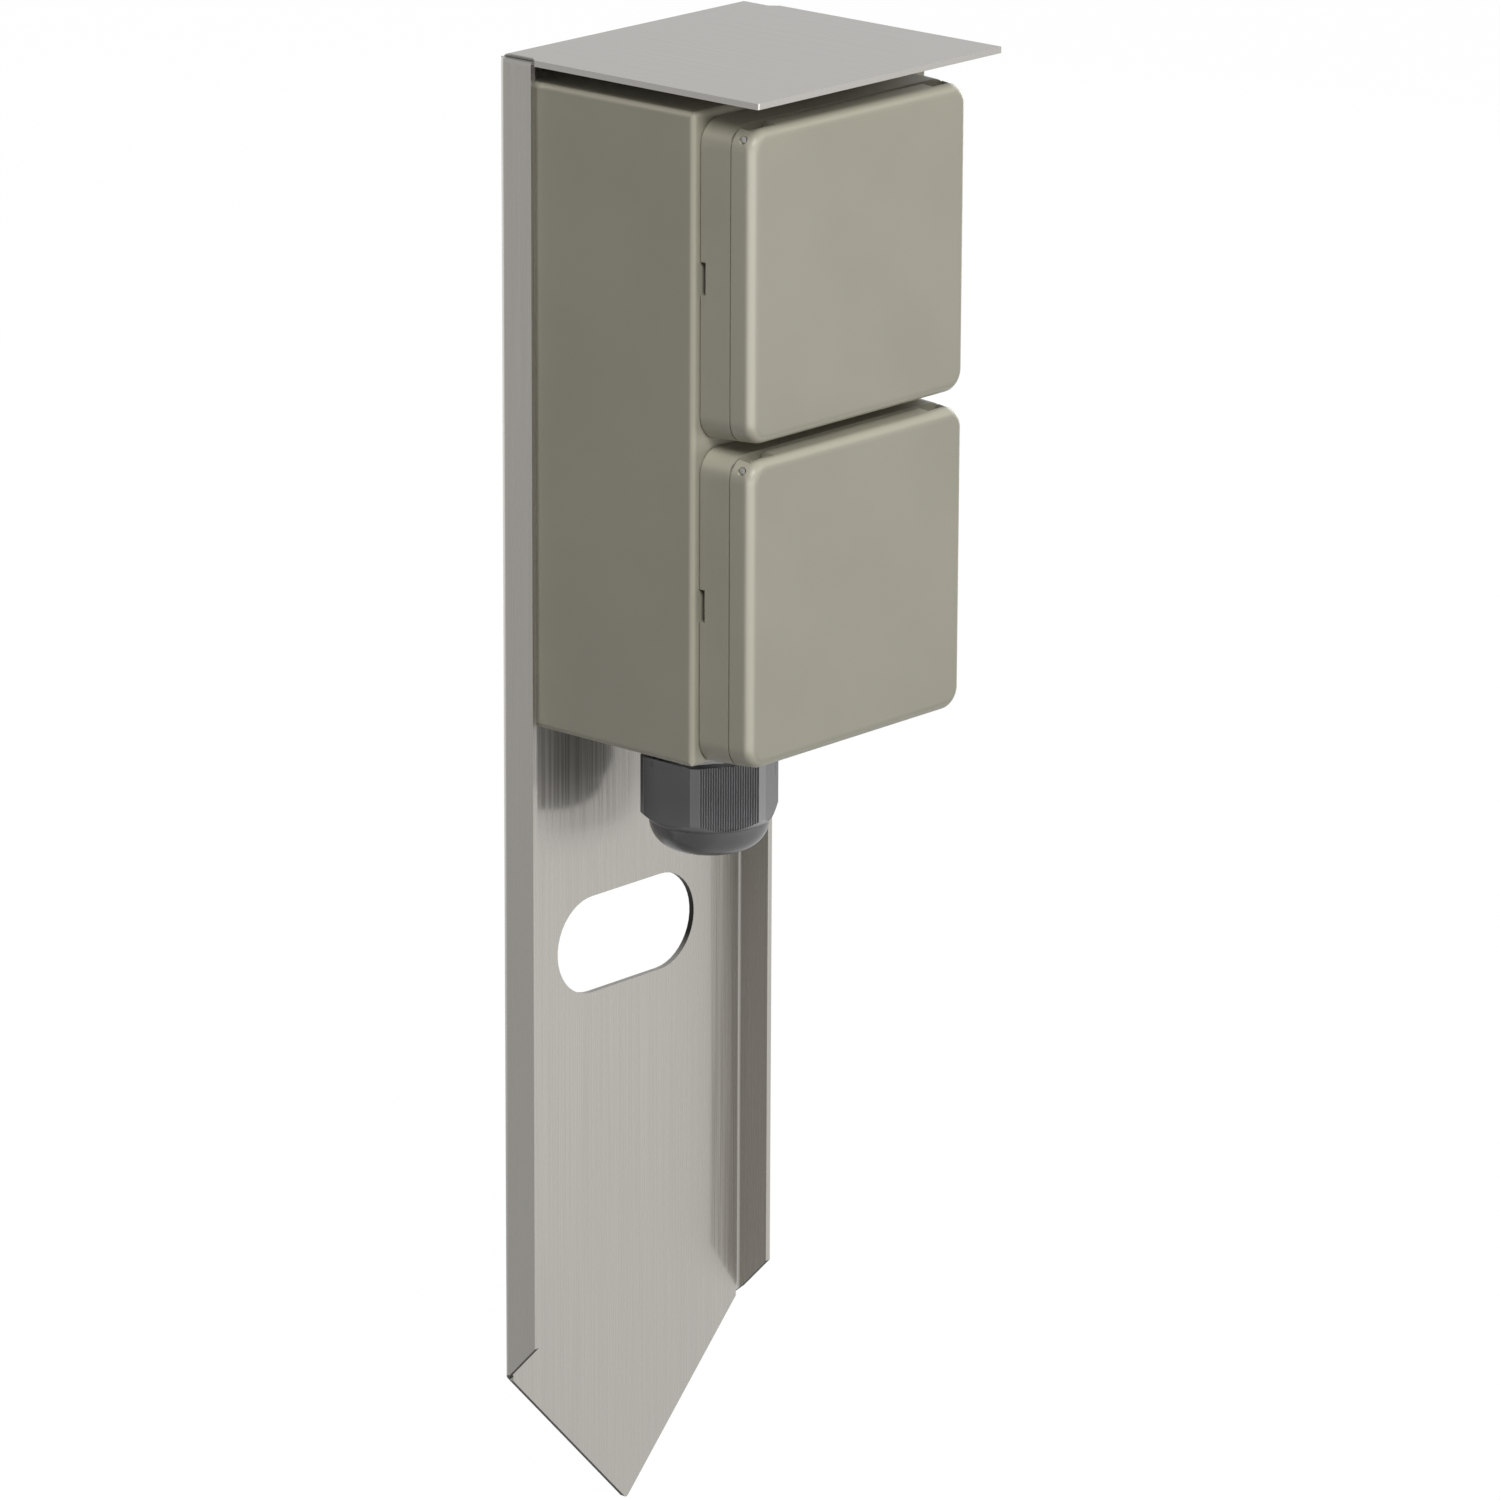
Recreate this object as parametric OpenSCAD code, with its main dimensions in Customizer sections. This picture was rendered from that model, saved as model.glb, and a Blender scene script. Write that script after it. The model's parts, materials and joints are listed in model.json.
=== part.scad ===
// Garden socket post: a folded stainless ground spike that carries a
// weatherproof housing with two lidded earthed outlets and a cable gland.
// Millimetres. +Z is up, the front faces -Y, the spike's tip is the origin,
// and the back of the sheet lies on y = 0.

/* [Post] */
// Width of the folded post over its flanges
post_w = 87.5; // [84:0.5:100]
// Height from the spike's tip to the top of the roof
post_h = 380; // [360:1:460]
// Thickness of the stainless sheet
sheet_t = 1.5; // [1:0.1:2]
// Inside radius of every bend
bend_r = 0.8; // [0.5:0.1:3]
// Depth of the side flanges, measured from the back of the sheet
flange_d = 11; // [8:0.5:18]
// Depth of the roof, measured from the back of the sheet
roof_d = 83; // [80:1:110]
// Corner radius of the roof's front corners
roof_corner_r = 0.5; // [0.5:0.5:8]
// Length of the relief beside the roof's bend
relief_l = 10; // [7:0.5:14]
// Gap between the roof's neck and each flange
relief_gap = 0.35; // [0.2:0.05:1]
// How far the flanges stop below the top of the roof
flange_drop = 0.8; // [0.4:0.1:1.4]
// Height of the spike's shoulders above the sharp end of its V
spike_h = 45.8; // [30:0.5:70]
// Radius of the spike's tip
tip_r = 0.8; // [0.4:0.1:2]
// Width of the hand slot
slot_w = 50; // [35:1:58]
// Height of the hand slot
slot_h = 25; // [16:1:30]
// Height of the hand slot's centre
slot_z = 150.5; // [120:0.5:155]

/* [Housing] */
// Gap between the housing and each flange
side_gap = 0.5; // [0.3:0.1:1.5]
// Gap between the roof and the top of the housing
roof_gap = 4.3; // [3:0.1:10]
// Depth of the housing from the sheet to its front face
housing_d = 59.7; // [57:0.5:70]
// Wall thickness of the housing
housing_wall = 2.5; // [2:0.1:3.5]
// Radius of the housing's outer edges
housing_edge_r = 1.5; // [1:0.1:2.4]
// Strip of housing left below the lower cover
rim_bottom = 0.4; // [0.4:0.1:6]
// Strip of housing left above the upper cover
rim_top = 1.8; // [0.4:0.1:6]
// Distance from a cover's shorter side to the square opening behind it
port_inset = 6.8; // [6.5:0.05:8]
// Corner radius of that opening
port_r = 4; // [2:0.5:6]
// Radius of the screw bosses
boss_r = 3.8; // [3.4:0.1:4.4]

/* [Covers] */
// Strip of housing left on each side of a cover
cover_inset = 2.2; // [1:0.1:4]
// Height of a cover at the housing face
cover_h = 77.6; // [76:0.1:84]
// Gap between the two covers at the housing face
cover_gap = 2.1; // [1.5:0.1:8]
// Depth of the fixed frame
frame_d = 9; // [8:0.1:12]
// Depth of the lid in front of the seam
lid_d = 6.3; // [6.1:0.1:8]
// Seam between the frame and the lid
seam_gap = 0.4; // [0.3:0.05:0.8]
// Corner radius of a cover, seen from the front
cover_r = 6.3; // [5:0.1:9]
// Radius along the lid's front edges
lid_edge_r = 2.7; // [1.5:0.1:3]
// Draft of the frame's sides
frame_draft = 0.055; // [0:0.005:0.08]
// Draft of the lid's sides
lid_draft = 0.09; // [0:0.005:0.1]
// Wall thickness of the frame and of the lid's sides
cover_wall = 1.7; // [1.5:0.1:2]
// Thickness of the lid's face
lid_face = 1.8; // [1.5:0.1:2.2]
// Height of the latch notch in the frame's sides
notch_h = 8; // [5:0.5:12]
// Depth of the latch notch along the frame
notch_d = 1.8; // [1:0.1:2.5]
// How far the notch's centre lies above the cover's centre
notch_rise = 0.8; // [-3:0.1:3]
// Width of each snap hook behind the frame
hook_w = 10; // [6:0.5:14]
// Distance of the snap hooks from the cover's centre
hook_z = 21; // [16:0.5:24]

/* [Hinges] */
// Distance of the hinge axis below the top of a cover
hinge_drop = 2.8; // [2.6:0.1:3.2]
// Distance of the hinge axis in front of the seam
hinge_fwd = 2.7; // [2.6:0.1:3]
// Radius of the hinge pin
pin_r = 0.8; // [0.7:0.05:1.1]
// Running clearance around the hinge pin
pin_clear = 0.05; // [0.03:0.01:0.08]
// Outer radius of the frame's knuckles
knuckle_r = 1.9; // [1.8:0.05:2.1]
// Width of each knuckle
knuckle_w = 7.4; // [5:0.2:10]
// Clearance between a knuckle and the lid
knuckle_clear = 0.25; // [0.2:0.05:0.4]
// Radius of the lid's nose behind the axis
nose_r = 3.2; // [3:0.05:3.4]
// Diameter of the spring wire
spring_wire = 0.5; // [0.4:0.05:0.6]
// Turns in each lid spring
spring_turns = 8; // [5:1:12]

/* [Outlets] */
// How much smaller the outlet's raised face is than that opening
face_inset = 6; // [4:0.5:8]
// How far that face stands in front of the frame
face_proud = 1.4; // [0.5:0.1:2]
// Radius of the round plug recess
recess_r = 19.6; // [19.4:0.1:20]
// Depth of the plug recess
recess_d = 17.5; // [16:0.5:19]
// Wall thickness of the recess and its floor
recess_wall = 2; // [1.8:0.1:2.4]
// Distance between the two pin holes
pin_pitch = 19; // [18:0.5:20]
// Radius of the pin holes in the recess floor
pin_hole_r = 2.75; // [2.6:0.05:3]
// Inner radius of the brass contact sleeves
sleeve_r = 2.45; // [2.42:0.01:2.5]
// Wall of the brass contact sleeves
sleeve_wall = 0.75; // [0.5:0.05:1]
// Width of the earth clips
clip_w = 6; // [4:0.5:8]
// Thickness of the earth clips
clip_t = 0.8; // [0.6:0.1:1]
// How far the earth clips stand into the recess
clip_reach = 1.8; // [1:0.1:2.4]
// Strip of the socket base outside the earth clips
base_rim = 0.2; // [0:0.1:1.5]
// Depth of the socket base
base_d = 13; // [11:0.5:15]
// Side of the brass terminal blocks
terminal_w = 8; // [7:0.5:8.5]
// Radius of the link wires over their insulation
wire_r = 1.4; // [1:0.1:1.8]

/* [Gland] */
// Distance of the gland's axis in front of the back of the sheet
gland_y = 29.2; // [26:0.2:33]
// Radius of the gland's thread
gland_r = 12.5; // [12:0.1:13]
// Radius of the cap nut over its corners
nut_r = 18.1; // [17.7:0.1:19]
// Height of the cap nut
nut_h = 24.6; // [22:0.2:28]
// Height of the nut's corners above its lower end
nut_corner_h = 10.5; // [9.5:0.1:12]
// Radius of the round shoulder below the nut's ribs
dome_r = 14.9; // [14.6:0.1:15.4]
// Radius of the blend under that shoulder
dome_edge_r = 7.5; // [5:0.1:8]
// Ribs on each side of the nut
rib_count = 24; // [12:1:26]
// Depth of the ribs
rib_h = 0.4; // [0.2:0.05:0.5]
// Width of the flat land on each corner
land_w = 2.5; // [1.5:0.1:4]
// Radius of the cable hole in the seal
cable_r = 6.5; // [5:0.5:8]
// Height of the body's fixed collar
collar_h = 8.4; // [6:0.1:10]
// Height of the sealing washer
washer_h = 1.5; // [1:0.1:2.5]
// Height of the locknut inside the housing
locknut_h = 5; // [4:0.5:7]
// Clearance of the nut's thread
thread_clear = 0.08; // [0.05:0.01:0.1]

/* [Fasteners] */
// Shank radius of the rear screws
rear_screw_r = 2; // [1.5:0.1:2.2]
// Head radius of the rear screws
rear_head_r = 3.8; // [3.2:0.1:4.4]
// Head height of the rear screws
rear_head_h = 2.2; // [1.6:0.1:3]
// Distance of the rear screws from the post's centre line
rear_screw_x = 30; // [20:1:34]
// Distance of the rear screws from the housing's ends
rear_screw_z = 24; // [12:1:30]
// Shank radius of the small screws
small_screw_r = 1.5; // [1.2:0.1:1.7]
// Clearance of every screw in its hole
screw_clear = 0.05; // [0.02:0.01:0.1]

/* [Hidden] */
$fn = 48;
eps = 0.01;

// Post
half_w = post_w / 2;
bend_out = bend_r + sheet_t;
neck_half = half_w - sheet_t - relief_gap;
spike_slope = spike_h / half_w;
spike_angle = atan(spike_slope);
// The V's sharp end lies below the rounded tip
tip_sink = tip_r / cos(spike_angle) - tip_r;
bend_arc = PI / 2 * (bend_r + 0.44 * sheet_t);
flange_cut_z = spike_slope * (half_w - bend_out + bend_arc) - tip_sink;

// Housing
housing_w = post_w - 2 * (sheet_t + side_gap);
housing_h = rim_bottom + 2 * cover_h + cover_gap + rim_top;
housing_top = post_h - sheet_t - roof_gap;
housing_bottom = housing_top - housing_h;
face_y = sheet_t + housing_d;
inner_back = sheet_t + housing_wall;
inner_front = face_y - housing_wall;
boss_len = 8;

// Covers, with depths as distances in front of the back of the sheet
cover_w = housing_w - 2 * cover_inset;
lower_z = housing_bottom + rim_bottom + cover_h / 2;
upper_z = lower_z + cover_h + cover_gap;
cover_zs = [upper_z, lower_z];
frame_front = face_y + frame_d;
lid_back = frame_front + seam_gap;
lid_front = lid_back + lid_d;
lid_w = cover_w - 2 * frame_draft * frame_d;
lid_h = cover_h - 2 * frame_draft * frame_d;
lid_r = cover_r - frame_draft * frame_d;
port_w = min(cover_w, cover_h) - 2 * port_inset;
face_w = port_w - face_inset;
shadow_gap = 0.35;
hook_t = 1.1;
hook_out = min(cover_w / 2 - 0.2, housing_w / 2 - housing_wall - 0.4);
hook_in = hook_out - hook_t;
hook_barb = 0.7;
hook_play = 0.2;
hook_len = 2.4;

// Hinges
axis_y = lid_back + hinge_fwd;
axis_dz = lid_h / 2 - hinge_drop;
pin_hole = pin_r + pin_clear;
relief_r = nose_r + 0.15;
pin_sink = 0.25;
// Half length of the pin, ending just inside the lid's rounded corner
corner_in = lid_r - sqrt(max(0, pow(lid_r, 2) - pow(lid_r - hinge_drop, 2)));
pin_half = lid_w / 2 - corner_in - lid_draft * hinge_fwd - pin_sink;
knuckle_out = lid_w / 2 - lid_r / 2 - 0.4;
knuckle_in = knuckle_out - knuckle_w;
spring_r = pin_r + 0.15 + spring_wire / 2;
spring_pitch = spring_wire + 0.15;
// Half a turn more brings the second leg to the lid's side
coil_turns = spring_turns + 0.5;
spring_len = coil_turns * spring_pitch;
// The legs end just above the outlet's raised face
spring_leg = axis_dz - face_w / 2 - 0.5;

// Outlets
insert_front = frame_front + face_proud;
flange_front = frame_front - cover_wall;
flange_back = flange_front - recess_wall;
floor_y = insert_front - recess_d;
floor_back = floor_y - recess_wall;
base_back = floor_back - base_d;
gasket_h = 1.5;
skirt_rim = 4.5;
skirt_w = port_w + 2 * skirt_rim;
lift_wall = 2.1;
clip_run = recess_r + 0.9;
base_w = 2 * (clip_run + clip_t + base_rim);
terminal_d = 8;
terminal_back = base_back - terminal_d;
earth_dz = -15;
sleeve_out = sleeve_r + sleeve_wall;
sleeve_seat = 1;
centre_head_r = 2.9;
centre_head_h = 1.8;
base_head_r = 2.8;
base_head_h = 2;
base_screw_grip = 12;
terminal_head_r = 2.3;
terminal_head_h = 1.4;
drive_w = 0.8;
ear_x = base_w / 2 + 5.5;
ear_w = 7.5;
ear_h = 9;
ear_t = 3;
base_r = 3;
face_r = 5;
face_gap = 0.2;
skirt_r = 4.8;
stud_w = 3;
stud_gap = 0.1;
lid_seal_in = recess_r + recess_wall + 1;
lid_seal_w = 3;
lid_seal_gap = 0.1;

// Gland
collar_top = housing_bottom - washer_h;
collar_bottom = collar_top - collar_h;
nut_top = collar_bottom - 1;
nut_bottom = nut_top - nut_h;
nut_flat = nut_r * cos(30);
nut_trim = 0.25;
top_chamfer = 0.8;
thread_start = 10;
outlet_r = cable_r + 2.5;
seal_r = 9.6;
claw_r = gland_r - 1.8;
claw_drop = 1.5;
collar_r = nut_r - 0.6;
seal_bottom = nut_bottom + 5.4;
seal_top = seal_bottom + 13;
thread_bottom = nut_bottom + thread_start + 1;
thread_end = 1.5;
locknut_r = 18;

// Earth bond between the post and the lower outlet
earth_screw_z = housing_bottom + housing_wall + 5;
lug_t = 1;
lug_r = 4;
lug_tongue_w = 2.4;
lug_tongue_h = 9;
earth_nut_r = 4;
earth_nut_h = 3.2;
wire_gap = 0.3;

// Extrudes a (y, z) outline towards +X, or an (x, z) outline towards the front
module along_x(len) rotate([90, 0, 90]) linear_extrude(len) children();
module along_y(len) rotate([90, 0, 0]) linear_extrude(len) children();

// A cylinder that runs towards the front, between two depths
module rod_y(r, from, to) translate([0, -from, 0]) rotate([90, 0, 0]) cylinder(r = r, h = to - from);

// A block between two depths, centred on x = 0 and z = 0
module block_y(w, h, from, to) translate([-w / 2, -to, -h / 2]) cube([w, to - from, h]);

module quarter_ring(r_out, r_in) {
    difference() {
        intersection() {
            circle(r_out);
            square(r_out);
        }
        circle(r_in);
    }
}

// A square with round corners, made of true arcs
module round_square(w, h, r) {
    square([w - 2 * r, h], center = true);
    square([w, h - 2 * r], center = true);
    for (x = [-1, 1], z = [-1, 1])
        translate([x * (w / 2 - r), z * (h / 2 - r)]) circle(r);
}

module round_block_y(w, h, r, from, to)
    translate([0, -from, 0]) along_y(to - from) round_square(w, h, r);

// Places on a grid of 0.001 mm, so that neighbouring sections meet exactly
function on_grid(v) = round(v * 1000) / 1000;

// Half of a drafted wall's section: the half width is h at depth 0 and the
// front edge has the radius edge_r. The side line ends just inside the arc.
module wall_section(h, d, draft, edge_r) {
    lean = atan(draft);
    reach = max(0, edge_r - 0.002);
    cx = h - on_grid(draft * (d - edge_r) + edge_r / cos(lean));
    cy = d - edge_r;
    side = [cx + on_grid(reach * cos(lean)), cy + on_grid(reach * sin(lean))];
    polygon(edge_r == 0 ? [[0, 0], [h, 0], side, [0, d]]
        : [[0, 0], [h, 0], side, [cx, cy], [cx, d], [0, d]]);
    if (edge_r > 0) translate([cx, cy]) intersection() {
        circle(edge_r);
        square(edge_r);
    }
}

// A moulded cover form with drafted sides, round corners and a round front
// edge, from depth 0 at the back to depth d at the front
module moulded_form(w, h, d, draft, corner_r, edge_r) {
    for (s = [0, 1]) mirror([s, 0, 0]) {
        translate([0, 0, -(h / 2 - corner_r)]) linear_extrude(h - 2 * corner_r)
            mirror([0, 1]) wall_section(w / 2, d, draft, edge_r);
        for (t = [0, 1]) mirror([0, 0, t])
            translate([w / 2 - corner_r, 0, h / 2 - corner_r]) rotate([90, 0, 0])
                rotate_extrude() wall_section(corner_r, d, draft, edge_r);
    }
    for (t = [0, 1]) mirror([0, 0, t])
        translate([-(w / 2 - corner_r), 0, 0]) along_x(w - 2 * corner_r)
            mirror([1, 0]) rotate(90) mirror([0, 1]) wall_section(h / 2, d, draft, edge_r);
}

// Post: one folded sheet

module post_section() {
    translate([-(half_w - bend_out), -sheet_t]) square([2 * (half_w - bend_out), sheet_t]);
    for (s = [0, 1]) mirror([s, 0]) {
        translate([half_w - sheet_t, -flange_d]) square([sheet_t, flange_d - bend_out]);
        translate([half_w - bend_out, -bend_out]) quarter_ring(bend_out, bend_r);
    }
}

// Outline of the sheet seen from the front, with the V and its round tip
module spike_outline() {
    tangent = [tip_r * sin(spike_angle), tip_r - tip_r * cos(spike_angle)];
    shoulder_z = spike_h - tip_sink;
    polygon([[-tangent[0], tangent[1]], [tangent[0], tangent[1]], [half_w, shoulder_z],
        [half_w, post_h], [-half_w, post_h], [-half_w, shoulder_z]]);
    translate([0, tip_r]) circle(tip_r);
}

// The slanted cut continues round the bend and up across each flange
module flange_cuts() {
    for (s = [0, 1]) mirror([s, 0, 0]) translate([half_w - bend_out, 0, 0])
        along_x(bend_out + 1) polygon([[1, -1], [1, flange_cut_z - spike_slope * (bend_out + 1)],
            [-flange_d - 1, flange_cut_z + spike_slope * (flange_d + 1 - bend_out)],
            [-flange_d - 1, -1]]);
}

module hand_slot() {
    straight = slot_w - slot_h;
    translate([0, 1, slot_z]) along_y(sheet_t + 2) {
        square([straight, slot_h], center = true);
        for (s = [-1, 1]) translate([s * straight / 2, 0]) circle(slot_h / 2);
    }
}

module roof_outline() {
    c = roof_corner_r;
    widen = relief_l + (half_w - neck_half) * 1.2;
    polygon([[-neck_half, -bend_out], [neck_half, -bend_out], [neck_half, -relief_l],
        [half_w, -widen], [half_w, -roof_d + c], [half_w - c, -roof_d], [-half_w + c, -roof_d],
        [-half_w, -roof_d + c], [-half_w, -widen], [-neck_half, -relief_l]]);
    for (s = [-1, 1]) translate([s * (half_w - c), -roof_d + c]) circle(c);
}

module rear_screw_places() {
    for (x = [-1, 1], z = [housing_bottom + rear_screw_z, housing_top - rear_screw_z])
        translate([x * rear_screw_x, 0, z]) children();
}

module earth_screw_place() translate([0, 0, earth_screw_z]) children();

module post_sheet() {
    color([0.7, 0.69, 0.67]) {
        difference() {
            intersection() {
                union() {
                    linear_extrude(post_h - bend_out) post_section();
                    linear_extrude(post_h - flange_drop) intersection() {
                        post_section();
                        for (s = [0, 1]) mirror([s, 0]) translate([half_w - sheet_t, -flange_d])
                            square([sheet_t, flange_d]);
                    }
                }
                along_y(flange_d) spike_outline();
            }
            flange_cuts();
            hand_slot();
            rear_screw_places() rod_y(rear_screw_r + screw_clear, -1, sheet_t + 1);
            earth_screw_place() rod_y(rear_screw_r + screw_clear, -1, sheet_t + 1);
        }
        translate([-neck_half, -bend_out, post_h - bend_out]) along_x(2 * neck_half)
            quarter_ring(bend_out, bend_r);
        translate([0, 0, post_h - sheet_t]) linear_extrude(sheet_t) roof_outline();
    }
}

// Housing

// Round on all twelve edges: three extruded outlines, intersected
module soft_box(w, d, h, r) {
    intersection() {
        linear_extrude(h) translate([0, -d / 2]) round_square(w, d, r);
        translate([0, 0, h / 2]) along_y(d) round_square(w, h, r);
        translate([-w / 2, -d / 2, h / 2]) along_x(w) round_square(d, h, r);
    }
}

module hook_places() {
    for (s = [0, 1], t = [-1, 1]) mirror([s, 0, 0])
        translate([hook_in, 0, t * hook_z]) children();
}

module base_screw_places() {
    for (x = [-1, 1]) translate([x * ear_x, 0, 0]) children();
}

module housing() {
    color([0.52, 0.51, 0.45]) difference() {
        union() {
            difference() {
                translate([0, -sheet_t, housing_bottom])
                    soft_box(housing_w, housing_d, housing_h, housing_edge_r);
                translate([0, -inner_back, housing_bottom + housing_wall])
                    soft_box(housing_w - 2 * housing_wall, inner_front - inner_back,
                        housing_h - 2 * housing_wall, 1);
            }
            rear_screw_places() rod_y(boss_r, inner_back - 1, inner_back + boss_len);
            for (z = cover_zs) translate([0, 0, z]) base_screw_places()
                rod_y(boss_r, inner_back - 1, base_back);
        }
        for (z = cover_zs) translate([0, 0, z]) {
            round_block_y(port_w, port_w, port_r, inner_front - 1, face_y + 1);
            base_screw_places()
                rod_y(small_screw_r + screw_clear, base_back - base_screw_grip - 2, base_back + 1);
            hook_places() translate([hook_t / 2 - hook_barb / 2, 0, 0])
                block_y(hook_t + hook_barb + 2 * hook_play, hook_w + 2 * hook_play,
                    inner_front - 1, face_y + 1);
        }
        rear_screw_places() rod_y(rear_screw_r + screw_clear, 0, inner_back + boss_len - 1.5);
        earth_screw_place() rod_y(rear_screw_r + screw_clear, 0, inner_back + 1);
        translate([0, -gland_y, housing_bottom - 1])
            cylinder(r = gland_r + thread_clear, h = housing_wall + 2);
    }
}

// Covers

module frame_knuckles() {
    for (s = [0, 1]) mirror([s, 0, 0]) translate([knuckle_in, 0, axis_dz]) {
        translate([0, -axis_y, 0]) rotate([0, 90, 0]) cylinder(r = knuckle_r, h = knuckle_w);
        translate([0, -axis_y, -knuckle_r])
            cube([knuckle_w, axis_y - frame_front + 1, knuckle_r + 0.8]);
    }
}

// A hook behind the frame's side wall, which snaps behind the housing's front
module snap_hook() {
    tip = inner_front - hook_len;
    catch = inner_front - hook_play;
    root = max(hook_t + 0.1, cover_w / 2 - 0.8 - hook_in);
    translate([0, 0, -hook_w / 2]) linear_extrude(hook_w)
        polygon([[0, -face_y - 1.5], [root, -face_y - 1.5], [root, -face_y - 0.5],
            [hook_t, -face_y - 0.5], [hook_t, -tip], [0, -tip],
            [-hook_barb, -tip - hook_barb], [-hook_barb, -catch], [0, -catch]]);
}

module frame_cover() {
    inner_w = cover_w - 2 * cover_wall;
    inner_h = cover_h - 2 * cover_wall;
    foot = 0.7;
    difference() {
        union() {
            difference() {
                translate([0, -face_y, 0])
                    moulded_form(cover_w, cover_h, frame_d, frame_draft, cover_r, 0);
                // Shadow line where the frame meets the housing
                difference() {
                    block_y(cover_w + 2, cover_h + 2, face_y - 1, face_y + shadow_gap);
                    round_block_y(cover_w - 2 * foot, cover_h - 2 * foot, cover_r - foot,
                        face_y - 2, face_y + shadow_gap + 1);
                }
                translate([0, -face_y + 1, 0])
                    moulded_form(inner_w + 2 * frame_draft, inner_h + 2 * frame_draft,
                        frame_d + 1 - cover_wall, frame_draft, cover_r - cover_wall, 0);
                translate([0, -axis_y, axis_dz]) rotate([0, 90, 0])
                    cylinder(r = relief_r, h = cover_w, center = true);
            }
            frame_knuckles();
            hook_places() snap_hook();
        }
        round_block_y(face_w + 2 * face_gap, face_w + 2 * face_gap, face_r + face_gap,
            face_y, frame_front + 1);
        for (s = [0, 1]) mirror([s, 0, 0])
            translate([cover_w / 2, 0, notch_rise])
                block_y(2 * cover_wall + 1, notch_h, face_y - 1, face_y + notch_d);
        translate([0, -axis_y, axis_dz]) rotate([0, 90, 0])
            cylinder(r = pin_hole, h = 2 * pin_half + 2, center = true);
    }
}

// Room in the lid for one knuckle, from its closed place to its open one
module knuckle_room() {
    c = knuckle_clear;
    reach = axis_y - lid_back + 1;
    translate([knuckle_in - c, -axis_y, axis_dz]) {
        rotate([0, 90, 0]) cylinder(r = knuckle_r + c, h = knuckle_w + 2 * c);
        translate([0, 0, -knuckle_r - c]) cube([knuckle_w + 2 * c, reach, knuckle_r + c]);
        translate([0, -1.5, 0]) cube([knuckle_w + 2 * c, reach + 1.5, hinge_drop + 1]);
    }
}

// Everything above and behind the nose's arc, which would foul the frame
module nose_cut() {
    translate([-lid_w / 2 - 1, -axis_y, axis_dz]) along_x(lid_w + 2) difference() {
        square(hinge_drop + hinge_fwd);
        circle(nose_r);
    }
}

module lid_form() {
    translate([0, -lid_back, 0])
        moulded_form(lid_w, lid_h, lid_d, lid_draft, lid_r, lid_edge_r);
}

module lid() {
    inner_w = lid_w - 2 * cover_wall;
    inner_h = lid_h - 2 * cover_wall;
    difference() {
        union() {
            difference() {
                lid_form();
                translate([0, -lid_back + 1, 0])
                    moulded_form(inner_w + 2 * lid_draft, inner_h + 2 * lid_draft,
                        lid_d + 1 - lid_face, lid_draft, lid_r - cover_wall, 1);
            }
            // Bosses that hold the pin's ends
            intersection() {
                lid_form();
                for (s = [0, 1]) mirror([s, 0, 0])
                    translate([knuckle_out + knuckle_clear, -axis_y, axis_dz]) rotate([0, 90, 0])
                        cylinder(r = knuckle_r + 0.4, h = lid_w / 2);
            }
        }
        for (s = [0, 1]) mirror([s, 0, 0]) knuckle_room();
        nose_cut();
        translate([0, -axis_y, axis_dz]) rotate([0, 90, 0]) {
            cylinder(r = pin_hole, h = lid_w + 2, center = true);
            cylinder(r = spring_r + spring_wire / 2 + 0.15, h = spring_len + 2, center = true);
            for (s = [0, 1]) mirror([0, 0, s]) translate([0, 0, pin_half - 0.4])
                cylinder(r = pin_r + 0.3, h = lid_w);
        }
    }
}

module hinge_pin() {
    translate([-pin_half, -axis_y, axis_dz]) rotate([0, 90, 0]) cylinder(r = pin_r, h = 2 * pin_half);
}

// A tube along points; each ring lies between the X axis and the normal given there
module tube(points, normals, r, sides) {
    last = len(points) - 1;
    rings = [for (i = [0:last], k = [0:sides - 1])
        let (a = 360 * k / sides) points[i] + r * (cos(a) * [1, 0, 0] + sin(a) * normals[i])];
    walls = [for (i = [0:last - 1], k = [0:sides - 1])
        let (a = i * sides + k, b = i * sides + (k + 1) % sides)
        each [[a, a + sides, b + sides], [a, b + sides, b]]];
    start_cap = [for (k = [0:sides - 1]) k];
    end_cap = [for (k = [sides - 1:-1:0]) last * sides + k];
    polyhedron(rings, concat(walls, [start_cap, end_cap]), convexity = 10);
}

// The coil starts at the frame's side of the axis and ends at the lid's side,
// and a leg hangs from each end of it
module lid_spring() {
    steps = 12;
    count = steps * coil_turns;
    radial = [for (i = [0:count]) [0, cos(360 * i / steps), sin(360 * i / steps)]];
    coil = [for (i = [0:count]) [spring_len * (i / count - 0.5), 0, 0] + spring_r * radial[i]];
    points = concat([[coil[0][0], coil[0][1], -spring_leg]], coil,
        [[coil[count][0], coil[count][1], -spring_leg]]);
    normals = concat([radial[0]], radial, [radial[count]]);
    translate([0, -axis_y, axis_dz]) tube(points, normals, spring_wire / 2, 6);
}

module lid_seal() {
    rod_ring_y(lid_seal_in + lid_seal_w, lid_seal_in, insert_front + lid_seal_gap, lid_front - lid_face);
}

module rod_ring_y(r_out, r_in, from, to) {
    translate([0, -from, 0]) rotate([90, 0, 0]) difference() {
        cylinder(r = r_out, h = to - from);
        translate([0, 0, -1]) cylinder(r = r_in, h = to - from + 2);
    }
}

// Outlets

module gasket() {
    difference() {
        round_block_y(skirt_w + 2 * face_gap, skirt_w + 2 * face_gap, skirt_r + face_gap,
            face_y, face_y + gasket_h);
        round_block_y(port_w + 2, port_w + 2, port_r + 1, face_y - 1, face_y + gasket_h + 1);
    }
}

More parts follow.
